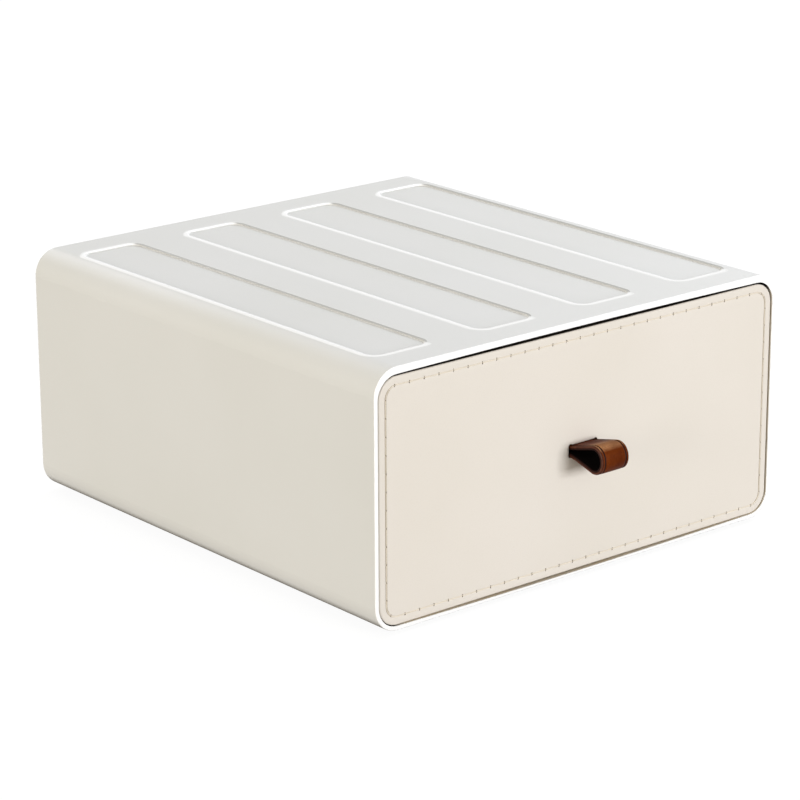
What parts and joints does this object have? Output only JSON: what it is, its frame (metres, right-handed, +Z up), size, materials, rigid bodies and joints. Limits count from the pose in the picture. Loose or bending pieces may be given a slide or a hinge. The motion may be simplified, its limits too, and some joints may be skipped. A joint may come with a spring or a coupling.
{
  "type": "stackable drawer box",
  "caption": "Stackable storage box: a rounded moulded sleeve with a pull-out drawer, a padded and stitched leather front, and a leather pull loop.",
  "frame": {"origin": "centre of the underside of the bounding box, on the surface that the box stands on; the box reaches from the tip of the pull to the rear edge", "axes": "-Y out of the drawer front and along the drawer's way out, +X to the right of someone who faces the back wall from the front, +Z up"},
  "size_m": [0.264, 0.2998, 0.132],
  "materials": {
    "case_plastic": "satin moulded white",
    "tray_plastic": "satin moulded white",
    "board_plastic": "matt moulded grey",
    "facing_foam": "thin closed-cell foam",
    "facing_leather": "cream fine-grained leather",
    "pull_leather": "brown waxed leather with burnished edges",
    "foot_rubber": "matt grey rubber",
    "clamp_steel": "zinc-plated sheet",
    "screw_steel": "zinc-plated"
  },
  "bodies": {
    "case": {"case_shell": "case_plastic", "rear_panel": "case_plastic", "foot_pad_front_left": "foot_rubber", "foot_pad_front_right": "foot_rubber", "foot_pad_rear_left": "foot_rubber", "foot_pad_rear_right": "foot_rubber"},
    "drawer": {"drawer_tray": "tray_plastic", "front_board": "board_plastic", "facing_pad": "facing_foam", "leather_facing": "facing_leather", "pull_strap": "pull_leather", "strap_clamp_plate": "clamp_steel", "strap_screws": "screw_steel", "front_screws": "screw_steel"}
  },
  "joints": [
    {"name": "drawer_slide", "type": "slide", "parent": "case", "child": "drawer", "axis": [0, -1, 0], "range_m": [0, 0.211]}
  ]
}
